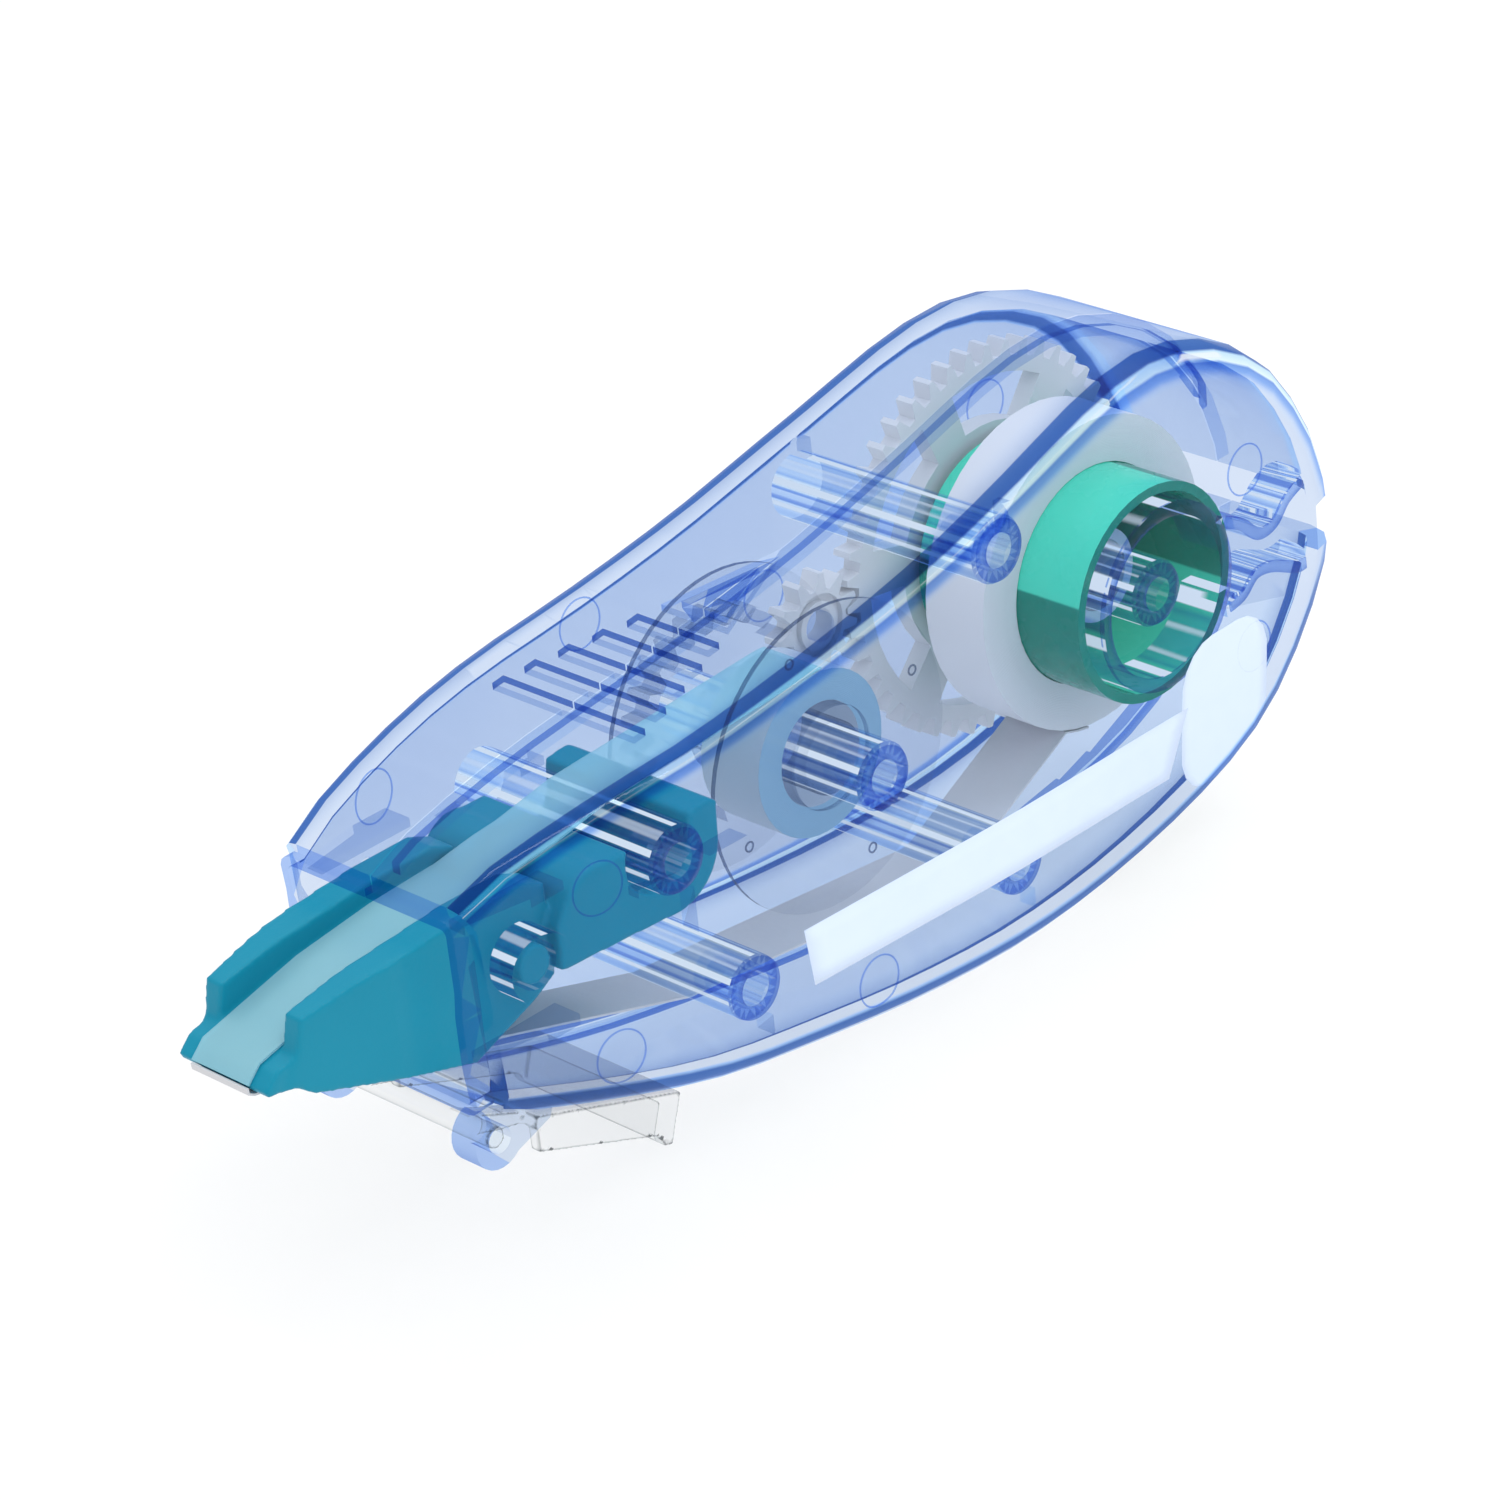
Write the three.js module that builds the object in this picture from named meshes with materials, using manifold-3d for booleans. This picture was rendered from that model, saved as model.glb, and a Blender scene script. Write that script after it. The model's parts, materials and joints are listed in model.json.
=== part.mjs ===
// Hand-held correction tape roller, 4.2 mm tape, in millimetres.
// Origin: centre of the overall box, on the mid-plane of the casing.
// +X runs to the rear dome, -X to the applicator tip, +Y to the gear side, +Z up.
// The dimensions below are measured from the supply reel axis; each finished
// part is then moved by CENTRE.
import * as THREE from 'three';
import { mergeVertices } from 'three/addons/utils/BufferGeometryUtils.js';
import Module from 'manifold-3d';

const wasm = await Module();
wasm.setup();

// ---- Driving dimensions ----------------------------------------------------
const TAPE_WIDTH = 4.2;
const HALF_TAPE = TAPE_WIDTH / 2;
const TAPE_THICK = 0.12;
const WALL = 1.1;
const SEAM = 0.05;               // half the parting gap between the two shells
const LAP = 0.5;                 // wall thickness outside the half-lap of the seam
const TONGUE = 0.5;              // how far the half-lap reaches past the mid-plane
const EDGE_R_FRONT = 1.3;        // rounding of the casing edges at the nose
const EDGE_R_REAR = 2.5;
const GROOVE_DEPTH = 0.4;

const MODULE = 0.48;
const DRIVE_TEETH = 46;
const IDLER_TEETH = 11;
const TAKEUP_TEETH = 24;
const ADDENDUM = 0.38;
const DEDENDUM = 0.55;
const GEAR_NEAR = 5.6;           // the three gears lie between these two Y planes
const GEAR_FAR = 6.8;

const CORE_R = 6.25;
const CORE_BORE_R = 5.7;
const ROLL_R = 8.95;             // part-used supply roll
const WRAP_R = 4.65;             // used film wound on the take-up hub
const HUB_R = 2.9;
const FLANGE_R = 8.6;
const POST_R = 1.9;
const GUIDE_R = 1.8;
const POST_END = 6.5;            // the posts stop this far from the mid-plane
const PIN_R = 1.0;
const RUN_GAP = 0.15;            // running gap of reels on their posts, and of the seam
const SLEEVE_R = 4.45;           // drive gear hub inside the friction ring
const SPOKE_OUTER_R = 9.6;       // the windows between the six spokes
const SPOKE_INNER_R = 6.9;

const SUPPLY = [0, 0];
const TAKEUP = [-21.87, -1.46];
const UPPER_POST = [-12.05, 7.6];
const HOOK_POST = [-36.8, 0.5];
const FRONT_GUIDE = [-32.5, -9.0];
const REAR_GUIDE = [-12.4, -11.0];
const NOSE_PIN = [-46.2, -1.3];
const HINGE = [-50.6, -8.9];
const CENTRE = [-23.88, -0.78];  // middle of the overall box, in x and z

const CAP_OPEN = THREE.MathUtils.degToRad(-19.5);

// ---- Helpers ---------------------------------------------------------------
function vec(p) {
  return new THREE.Vector2(p[0], p[1]);
}

function polygon(points) {
  return new THREE.Shape(points.map(vec));
}

// A shape drawn in (x, z), made solid from y0 to y1.
function slab(shape, y0, y1, steps = 1, curveSegments = 20) {
  const options = { depth: y1 - y0, bevelEnabled: false, steps, curveSegments };
  const geometry = new THREE.ExtrudeGeometry(shape, options);
  geometry.rotateX(Math.PI / 2);
  geometry.translate(0, y1, 0);
  return geometry;
}

function disc(centre, radius, y0, y1, segments = 32) {
  const geometry = new THREE.CylinderGeometry(radius, radius, y1 - y0, segments);
  geometry.translate(centre[0], (y0 + y1) / 2, centre[1]);
  return geometry;
}

function ring(centre, outer, inner, y0, y1, segments = 40) {
  return cut(disc(centre, outer, y0, y1, segments), disc(centre, inner, y0 - 1, y1 + 1, segments));
}

function box(x0, x1, y0, y1, z0, z1) {
  const geometry = new THREE.BoxGeometry(x1 - x0, y1 - y0, z1 - z0);
  geometry.translate((x0 + x1) / 2, (y0 + y1) / 2, (z0 + z1) / 2);
  return geometry;
}

// Both sides of a centre line, as a closed outline.
function ribbon(points, thickness) {
  const left = [];
  const right = [];
  points.forEach((p, i) => {
    const before = points[Math.max(i - 1, 0)];
    const after = points[Math.min(i + 1, points.length - 1)];
    const along = after.clone().sub(before).normalize();
    const side = new THREE.Vector2(-along.y, along.x).multiplyScalar(thickness / 2);
    left.push(p.clone().add(side));
    right.unshift(p.clone().sub(side));
  });
  return new THREE.Shape([...left, ...right]);
}

function curvePoints(points, count) {
  return new THREE.SplineCurve(points.map(vec)).getPoints(count);
}

function arcPoints(centre, radius, fromDeg, toDeg, count) {
  const points = [];
  for (let i = 0; i <= count; i += 1) {
    const a = THREE.MathUtils.degToRad(fromDeg + ((toDeg - fromDeg) * i) / count);
    points.push(new THREE.Vector2(centre[0] + radius * Math.cos(a), centre[1] + radius * Math.sin(a)));
  }
  return points;
}

function solid(geometry) {
  if (!(geometry instanceof THREE.BufferGeometry)) return geometry;
  const bare = geometry.clone();
  bare.deleteAttribute('normal');
  bare.deleteAttribute('uv');
  const welded = mergeVertices(bare, 1e-4);
  return new wasm.Manifold(new wasm.Mesh({
    numProp: 3,
    vertProperties: new Float32Array(welded.attributes.position.array),
    triVerts: new Uint32Array(welded.index.array),
  }));
}

function join(...parts) {
  return parts.map(solid).reduce((whole, part) => whole.add(part));
}

function cut(body, ...tools) {
  return tools.map(solid).reduce((left, tool) => left.subtract(tool), solid(body));
}

function common(a, b) {
  return solid(a).intersect(solid(b));
}

const group = new THREE.Group();
group.name = 'correction_tape_roller';

function addMesh(name, body, color, roughness, extra = {}) {
  const mesh = solid(body).getMesh();
  const geometry = new THREE.BufferGeometry();
  geometry.setAttribute('position', new THREE.BufferAttribute(mesh.vertProperties, 3));
  geometry.setIndex(new THREE.BufferAttribute(mesh.triVerts, 1));
  geometry.computeVertexNormals();
  geometry.translate(-CENTRE[0], 0, -CENTRE[1]);
  const material = new THREE.MeshStandardMaterial({ color, roughness, metalness: 0, ...extra });
  const part = new THREE.Mesh(geometry, material);
  part.name = name;
  group.add(part);
}

// ---- Casing hull -----------------------------------------------------------
// Side view of the casing, front to rear: a low nose, a waist and a round rear dome.
const TOP_LINE = [[-51, 4.1], [-48, 5.4], [-42, 6.7], [-36, 7.5], [-28, 8.5], [-20, 9.9], [-12, 11.9],
  [-5, 13.8], [0, 14.3], [4.8, 13.2], [9.4, 10.4], [12.6, 6.0], [14.1, 2.0], [14.4, -0.5]];
const BOTTOM_LINE = [[-50.3, -7.9], [-45, -9.6], [-38, -11.5], [-30, -13.0], [-22, -14.2], [-13, -14.8],
  [-5, -14.4], [2.2, -13.0], [7.4, -10.8], [11.3, -7.2], [13.8, -3.2], [14.4, -0.7]];
// Plan view: half the width along X, flattened along the middle of the side.
const HALF_PLAN = [[-56, 6.1], [-51, 6.8], [-42, 8.4], [-34, 9.25], [-18, 9.25], [0, 8.5], [16, 8.2]];
const FLAT_HALF_WIDTH = 9.2;
const STATIONS = 26;
const OVERRUN = 4;               // how far a cavity runs on past the nose

function heightAlong(points, x) {
  const i = Math.max(points.findIndex((p) => p.x > x), 1);
  const [a, b] = [points[i - 1], points[i]];
  return a.y + ((b.y - a.y) * (x - a.x)) / (b.x - a.x);
}

const planCurve = curvePoints(HALF_PLAN, 24);
const topCurve = new THREE.SplineCurve(TOP_LINE.map(vec)).getSpacedPoints(STATIONS);
const bottomCurve = new THREE.SplineCurve(BOTTOM_LINE.map(vec)).getSpacedPoints(STATIONS);

function halfWidth(x) {
  return Math.min(heightAlong(planCurve, x), FLAT_HALF_WIDTH);
}

// A point of the edge curve at station i, moved inwards by an inset.
function insetPoint(curve, i, inset, inwards) {
  const before = curve[Math.max(i - 1, 0)];
  const after = curve[Math.min(i + 1, curve.length - 1)];
  const along = after.clone().sub(before).normalize();
  const atRear = i === curve.length - 1;
  const across = new THREE.Vector2(along.y, -along.x).multiplyScalar(inwards);
  const normal = atRear ? new THREE.Vector2(-1, 0) : across;
  return curve[i].clone().add(normal.multiplyScalar(inset));
}

// One point of a cross-section. k = 0 is the top middle, 5 the side, 10 the bottom middle.
function sectionPoint(i, k, inset, forward) {
  const fold = k > 10 ? 20 - k : k;
  const side = k > 10 ? -1 : 1;
  const edge = THREE.MathUtils.lerp(EDGE_R_FRONT, EDGE_R_REAR, i / STATIONS);
  const radius = Math.max(edge - inset, 0.35);
  const place = (curve, inwards, turn) => {
    const drop = radius * (1 - Math.cos(turn));
    const p = insetPoint(curve, i, inset + drop, inwards);
    const y = halfWidth(p.x) - inset - radius * (1 - Math.sin(turn));
    return new THREE.Vector3(p.x - forward, side * y, p.y);
  };
  if (fold === 0 || fold === 10) {
    const p = place(fold === 0 ? topCurve : bottomCurve, fold === 0 ? 1 : -1, 0);
    return p.setY(0);
  }
  if (fold === 5) {
    const upper = place(topCurve, 1, Math.PI / 2);
    const lower = place(bottomCurve, -1, Math.PI / 2);
    const middle = upper.add(lower).multiplyScalar(0.5);
    return middle.setY(side * (halfWidth(middle.x) - inset));
  }
  const turn = ((fold < 5 ? fold - 1 : 9 - fold) * Math.PI) / 6;
  return place(fold < 5 ? topCurve : bottomCurve, fold < 5 ? 1 : -1, turn);
}

// The closed hull: a cylinder along X whose points are moved to the cross-sections.
function hull(inset, overrun = 0) {
  const rows = STATIONS + (overrun > 0 ? 1 : 0);
  const geometry = new THREE.CylinderGeometry(1, 1, rows, 20, rows);
  const position = geometry.attributes.position;
  for (let v = 0; v < position.count; v += 1) {
    const row = Math.round(position.getY(v) + rows / 2);
    const i = Math.max(overrun > 0 ? row - 1 : row, 0);
    const forward = overrun > 0 && row === 0 ? overrun : 0;
    const x = position.getX(v);
    const z = position.getZ(v);
    const k = (Math.round((Math.atan2(-x, z) * 10) / Math.PI) + 20) % 20;
    let p = sectionPoint(i, k, inset, forward);
    if (Math.hypot(x, z) < 0.01) {
      p = sectionPoint(i, 0, inset, forward).add(sectionPoint(i, 10, inset, forward)).multiplyScalar(0.5);
    }
    position.setXYZ(v, p.x, p.y, p.z);
  }
  return solid(geometry);
}

function span(side, near, far) {
  return side > 0 ? [near, far] : [-far, -near];
}

function sideSlab(side, shape, near, far, steps = 1) {
  return slab(shape, ...span(side, near, far), steps);
}

function sideDisc(side, centre, radius, near, far, segments = 32) {
  return disc(centre, radius, ...span(side, near, far), segments);
}

function sideBox(side, x0, x1, near, far, z0, z1) {
  return box(x0, x1, ...span(side, near, far), z0, z1);
}

// ---- Shells ----------------------------------------------------------------
const GRIP_BARS = [[-37, 10.3], [-35.1, 9.5], [-33.2, 8.4], [-31.3, 7.2], [-29.4, 5.9]];
const BAR_WIDTH = 0.8;
const ARROW = [[-27.8, -2.4], [-21.2, 0], [-27.8, 2.4]];
const ARROW_INNER = [[-27.1, -1.6], [-22.8, 0], [-27.1, 1.6]];

// A groove of the given plan shape, cut into the top of the casing.
function topGroove(shape) {
  const options = { depth: 2, bevelEnabled: false };
  const geometry = new THREE.ExtrudeGeometry(shape, options);
  const position = geometry.attributes.position;
  for (let i = 0; i < position.count; i += 1) {
    const z = position.getZ(i) + heightAlong(topCurve, position.getX(i)) - GROOVE_DEPTH;
    position.setZ(i, z);
  }
  return geometry;
}

const CHANNEL_UPPER = [[4.9, 2.4], [6.8, 1.5], [8.1, 0.4], [9.5, 0.5], [10.6, 1.5], [12.0, 2.1],
  [13.7, 1.7]];
const CHANNEL_LOWER = [[4.9, -3.0], [6.6, -2.7], [7.7, -1.9], [9.1, -2.0], [11.2, -2.9], [12.6, -2.9],
  [13.7, -2.6]];
const NOTCH = [[11.7, -1.75], [16, -1.9], [16, 1.1], [11.7, 0.96]];

function shell(side, outer, cavity, lap, rebate) {
  const half = sideBox(side, -60, 20, SEAM, 12, -18, 18);
  let body = common(cut(outer, cavity), half);

  // Raised rim around the open nose.
  const rim = common(cut(lap, cavity), sideBox(side, -51.5, -50.4, SEAM, 12, -10, 8));
  body = join(body, rim);

  // Half-lap along the seam: a tongue on the gear side, a rebate on the other.
  if (side > 0) {
    body = join(body, common(cut(lap, cavity), box(-49.5, 11.5, -TONGUE, SEAM * 6, -18, 18)));
  } else {
    body = cut(body, common(rebate, box(-49.8, 11.8, -TONGUE - RUN_GAP, 0, -18, 18)));
  }

  // Rear notch, lined by two curved walls that run forward to the reel collar.
  const wallTop = halfWidth(10) - WALL / 2;
  const clearR = side > 0 ? pitchR(DRIVE_TEETH) + 1 : CORE_R + 0.35;
  const clearY = side > 0 ? GEAR_FAR + 0.15 : POST_END + 0.35;
  [CHANNEL_UPPER, CHANNEL_LOWER].forEach((line) => {
    const wall = cut(sideSlab(side, ribbon(curvePoints(line, 12), 0.7), 4.6, wallTop),
      sideDisc(side, SUPPLY, clearR, 3, clearY, 40));
    body = join(body, common(wall, outer));
  });
  body = cut(body, slab(polygon(NOTCH), -10, 10));

  // Hinge lug under the nose.
  const web = polygon([[-50.7, -7.0], [-52.1, -8.4], [-49.6, -10.1], [-47.2, -9.3], [-46.8, -8.4]]);
  const lug = join(sideDisc(side, HINGE, 1.6, 4.9, 6.7, 24), sideSlab(side, web, 4.9, 6.7));
  body = cut(join(body, cut(lug, cavity)), sideDisc(side, HINGE, 0.75, 4, 8, 20));

  // Guide shelves beside the applicator head.
  const shelfRoot = halfWidth(-49.5) - WALL / 2;
  body = join(body, sideBox(side, -50.3, -44.3, 4.7, shelfRoot, 2.3, 2.8));
  body = join(body, sideBox(side, -50.0, -44.3, 4.7, shelfRoot, -5.4, -4.8));

  // Socket for the pin on the side of the applicator head.
  const socketRoot = halfWidth(NOSE_PIN[0]) - WALL / 2;
  body = join(body, sideDisc(side, NOSE_PIN, POST_R, 4.6, socketRoot));
  body = cut(body, sideDisc(side, NOSE_PIN, 1.3, 4, 6.0, 20));

  // Finger grip: bars across the top and an arrow that points to the rear.
  GRIP_BARS.forEach(([x, length]) => {
    const [x0, x1, y1] = [x - BAR_WIDTH / 2, x + BAR_WIDTH / 2, length / 2];
    const bar = polygon([[x0, -y1], [x1, -y1], [x1, y1], [x0, y1]]);
    body = cut(body, topGroove(bar));
  });
  const arrow = polygon(ARROW);
  arrow.holes.push(new THREE.Path(ARROW_INNER.map(vec)));
  return cut(body, topGroove(arrow));
}

const POSTS = [[SUPPLY, POST_R], [TAKEUP, POST_R], [UPPER_POST, POST_R], [HOOK_POST, POST_R],
  [FRONT_GUIDE, GUIDE_R], [REAR_GUIDE, GUIDE_R]];

// Short ribs that stiffen the foot of a post or pin: angle and reach beyond the axis.
const RIBS = [[HOOK_POST, 0, 3.6], [HOOK_POST, 180, 3.6], [HOOK_POST, 270, 3.6], [FRONT_GUIDE, 270, 2.2],
  [REAR_GUIDE, 270, 2.2], [UPPER_POST, 90, 3.0]];

function ribs(side) {
  return RIBS.map(([centre, degrees, reach]) => {
    const a = THREE.MathUtils.degToRad(degrees);
    const end = [centre[0] + reach * Math.cos(a), centre[1] + reach * Math.sin(a)];
    const root = halfWidth(centre[0]) - WALL / 2;
    return sideSlab(side, ribbon([vec(centre), vec(end)], 0.5), POST_END + 0.3, root);
  });
}

// ---- Gears -----------------------------------------------------------------
function pitchR(teeth) {
  return (teeth * MODULE) / 2;
}

function angleTo(from, to) {
  return Math.atan2(to[1] - from[1], to[0] - from[0]);
}

// The idler meshes with both gears: its axis is one corner of a triangle.
function idlerAxis() {
  const a = pitchR(DRIVE_TEETH) + pitchR(IDLER_TEETH);
  const b = pitchR(TAKEUP_TEETH) + pitchR(IDLER_TEETH);
  const d = Math.hypot(TAKEUP[0] - SUPPLY[0], TAKEUP[1] - SUPPLY[1]);
  const along = (a * a - b * b + d * d) / (2 * d);
  const up = Math.sqrt(a * a - along * along);
  const ux = (TAKEUP[0] - SUPPLY[0]) / d;
  const uz = (TAKEUP[1] - SUPPLY[1]) / d;
  return [SUPPLY[0] + along * ux + up * uz, SUPPLY[1] + along * uz - up * ux];
}

const IDLER = idlerAxis();

function gearShape(centre, teeth, phase) {
  const r = pitchR(teeth);
  const shape = [];
  for (let k = 0; k < teeth; k += 1) {
    const mid = phase + (k * 2 * Math.PI) / teeth;
    [[-0.44, -DEDENDUM], [-0.17, ADDENDUM], [0.17, ADDENDUM], [0.44, -DEDENDUM]].forEach(([arc, rise]) => {
      const a = mid + arc / (r + rise);
      shape.push([centre[0] + (r + rise) * Math.cos(a), centre[1] + (r + rise) * Math.sin(a)]);
    });
  }
  return polygon(shape);
}

const towardIdler = angleTo(SUPPLY, IDLER);
const idlerPitch = (2 * Math.PI) / IDLER_TEETH;
const idlerPhase = towardIdler + Math.PI + idlerPitch / 2;
const towardTakeup = angleTo(IDLER, TAKEUP);
// How far the nearest idler tooth stands from the line to the take-up gear.
const idlerOffset = (idlerPhase - towardTakeup) % idlerPitch;
const takeupPhase = towardTakeup + Math.PI + (Math.PI - idlerOffset * IDLER_TEETH) / TAKEUP_TEETH;

// ---- The two shells ------------------------------------------------------------
const outerHull = hull(0);
const cavityHull = hull(WALL, OVERRUN);
const lapHull = hull(LAP + 0.05, OVERRUN);
const rebateHull = hull(LAP - 0.05, OVERRUN);

// The near shell carries the reel collar and the pins that close the posts.
let left = shell(-1, outerHull, cavityHull, lapHull, rebateHull);
const collarRoot = halfWidth(0) - WALL / 2;
const collar = cut(ring(SUPPLY, 5.4, 4.6, -collarRoot, -4.6, 40), box(2, 7, -9, -4, -1.6, 0.9));
left = join(left, collar, ...ribs(-1));
POSTS.forEach(([centre]) => {
  const root = halfWidth(centre[0]) - WALL / 2;
  left = join(left, disc(centre, PIN_R, -root, -4.0, 20));
});
addMesh('left_shell', left, 0xb4c6f0, 0.08, { transparent: true, opacity: 0.35 });

// The far shell carries the posts and the idler stub.
let right = shell(1, outerHull, cavityHull, lapHull, rebateHull);
right = join(right, ...ribs(1));
POSTS.forEach(([centre, radius]) => {
  const root = halfWidth(centre[0]) - WALL / 2;
  const post = cut(disc(centre, radius, -POST_END, root, 28), disc(centre, PIN_R + 0.2, -8, -3.4, 20));
  right = join(right, post);
});
right = join(right, disc(IDLER, 0.85, 5.3, halfWidth(IDLER[0]) - WALL / 2, 20));
addMesh('right_shell', right, 0xb4c6f0, 0.08, { transparent: true, opacity: 0.35 });

// ---- Supply reel -------------------------------------------------------------
addMesh('supply_core', ring(SUPPLY, CORE_R, CORE_BORE_R, -6.5, 5.1, 48), 0x12a88a, 0.35);
const roll = ring(SUPPLY, ROLL_R, CORE_R + 0.05, -HALF_TAPE, HALF_TAPE, 48);
addMesh('tape_roll', roll, 0xd8dae2, 0.55);
addMesh('friction_ring', ring(SUPPLY, CORE_BORE_R - 0.03, 4.72, 2.6, 4.4, 32), 0x3c4048, 0.8);

// ---- Drive gear: toothed rim, six spokes and a hub sleeve ----------------------
let drive = solid(slab(gearShape(SUPPLY, DRIVE_TEETH, towardIdler), GEAR_NEAR, GEAR_FAR));
for (let k = 0; k < 6; k += 1) {
  const mid = 60 * k + 20;
  const rimSide = arcPoints(SUPPLY, SPOKE_OUTER_R, mid - 22, mid + 22, 5);
  const hubSide = arcPoints(SUPPLY, SPOKE_INNER_R, mid + 20, mid - 20, 4);
  const window = new THREE.Shape([...rimSide, ...hubSide]);
  drive = cut(drive, slab(window, GEAR_NEAR - 1, GEAR_FAR + 1));
}
drive = join(drive, disc(SUPPLY, SLEEVE_R, 2.0, GEAR_NEAR + 0.2, 32));
drive = cut(drive, disc(SUPPLY, POST_R + RUN_GAP, -1, 8, 32), disc(SUPPLY, 3.9, 1, GEAR_NEAR - 0.4, 32));
drive = join(drive, ring(SUPPLY, 2.7, POST_R + RUN_GAP, -2.6, GEAR_NEAR, 32));
addMesh('drive_gear', drive, 0xe4e4ea, 0.45);

// ---- Idler gear ----------------------------------------------------------------
let idler = solid(slab(gearShape(IDLER, IDLER_TEETH, idlerPhase), GEAR_NEAR, GEAR_FAR));
idler = cut(idler, disc(IDLER, 1.0, 5, 8, 20), ring(IDLER, 1.85, 1.4, GEAR_NEAR - 1, GEAR_NEAR + 0.35, 20));
addMesh('idler_gear', idler, 0xe4e4ea, 0.45);

// ---- Take-up reel ----------------------------------------------------------------
const farFlange = disc(TAKEUP, FLANGE_R, 4.75, 5.05, 56);
const takeupHub = disc(TAKEUP, HUB_R, -3.0, 4.9, 32);
const takeupGear = slab(gearShape(TAKEUP, TAKEUP_TEETH, takeupPhase), 5.0, GEAR_FAR - 0.1);
const takeupReel = cut(join(farFlange, takeupHub, takeupGear), disc(TAKEUP, POST_R + RUN_GAP, -5, 8, 32));
addMesh('takeup_reel', takeupReel, 0xdfe4ec, 0.1, { transparent: true, opacity: 0.3 });
addMesh('takeup_flange', ring(TAKEUP, FLANGE_R, HUB_R + 0.03, -2.85, -2.55, 56), 0xdfe4ec, 0.1, {
  transparent: true, opacity: 0.3,
});
const wrap = ring(TAKEUP, WRAP_R, HUB_R + 0.03, -HALF_TAPE, HALF_TAPE, 40);
addMesh('used_tape_wrap', wrap, 0x86aed2, 0.5);

// ---- Applicator head -----------------------------------------------------------
// Platform the tape slides over, from the thin tip edge back to the cross gap.
const platform = polygon([[-61.7, -1.85], [-60.9, -1.1], [-54.6, 0.4], [-49.7, 1.0], [-45.4, 1.2],
  [-45.4, -3.0], [-50, -4.0], [-61.6, -2.2]]);
const cheek = polygon([[-60.4, -2.35], [-59.6, -0.5], [-59.2, 1.1], [-55.8, 1.7], [-49.0, 2.2],
  [-45.0, 2.2], [-43.6, 1.6], [-43.6, -3.6], [-45.0, -4.4], [-49.3, -6.0], [-58.9, -3.2],
  [-59.9, -2.45]]);
let head = solid(slab(platform, -3.3, 3.3));
[-1, 1].forEach((side) => {
  const plate = sideSlab(side, cheek, 2.3, 4.3);
  // The cheeks narrow towards the tip.
  const taper = new THREE.Shape([[-61, 2.3], [-43, 2.3], [-43, 4.3], [-54, 4.2], [-61, 3.3]].map(
    ([x, y]) => new THREE.Vector2(x, side * y)));
  const prism = new THREE.ExtrudeGeometry(taper, { depth: 20, bevelEnabled: false }).translate(0, 0, -10);
  head = join(head, common(plate, prism));
  head = join(head, sideDisc(side, NOSE_PIN, 1.05, 4.0, 5.9, 20));
});
// Rear block: a front hump, then a hook open at the top that grips the post behind it.
const rearBlock = [...arcPoints([-41.2, -0.7], 2.4, 150, 70, 5), vec([-38.8, 1.5]),
  ...arcPoints(HOOK_POST, POST_R + 0.3, 172, 352, 12), vec([-34.5, 1.7]), vec([-32.9, 1.8]),
  vec([-32.4, 1.5]), ...arcPoints([-35.7, -0.3], 3.2, 4, -90, 7), vec([-38.6, -3.3]),
  vec([-44.0, -3.0]), vec([-44.0, -0.6])];
head = join(head, slab(new THREE.Shape(rearBlock), -5.3, 5.3));
head = join(head, slab(polygon([[-45.8, -3.0], [-45.8, -0.6], [-43.5, -0.6], [-43.5, -3.0]]), -4.2, 4.2));
addMesh('applicator_head', head, 0x2196b4, 0.35);

// ---- Tape runs -------------------------------------------------------------------
const TAPE_RISE = 0.08 + TAPE_THICK / 2;     // tape centre line above the round it passes
const feedLine = [
  ...arcPoints(SUPPLY, ROLL_R + TAPE_RISE, 262, 250, 2),
  ...arcPoints(REAR_GUIDE, GUIDE_R + TAPE_RISE, 298, 266, 4),
  ...arcPoints(FRONT_GUIDE, GUIDE_R + TAPE_RISE, 274, 254, 3),
  vec([-59.6, -2.75]), vec([-61.5, -2.44]), vec([-61.86, -2.25]), vec([-61.88, -1.93]),
];
const feedTape = slab(ribbon(feedLine, TAPE_THICK), -HALF_TAPE, HALF_TAPE);
addMesh('feed_tape', feedTape, 0xd4d6de, 0.55);
const returnLine = [
  vec([-61.82, -1.8]), vec([-60.95, -0.98]), vec([-54.6, 0.54]), vec([-49.7, 1.14]), vec([-45.2, 1.36]),
  vec([-42.6, 1.72]), vec([-40.9, 1.85]),
  ...arcPoints(HOOK_POST, POST_R + TAPE_RISE, 106, 90, 2),
  ...arcPoints(TAKEUP, WRAP_R + TAPE_RISE, 93, 82, 2),
];
const returnTape = slab(ribbon(returnLine, TAPE_THICK), -HALF_TAPE, HALF_TAPE);
addMesh('return_tape', returnTape, 0x9fd0dc, 0.3);

// ---- Flip cap, drawn in its own frame then turned to the open position -------------
// s runs from the hinge along the cap, t away from the plate on its open side.
function capPart(points, y0, y1) {
  const c = Math.cos(CAP_OPEN);
  const s = Math.sin(CAP_OPEN);
  const placed = points.map(([a, t]) => [HINGE[0] + a * c + t * s, HINGE[1] + a * s - t * c]);
  return slab(polygon(placed.reverse()), y0, y1);
}

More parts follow.
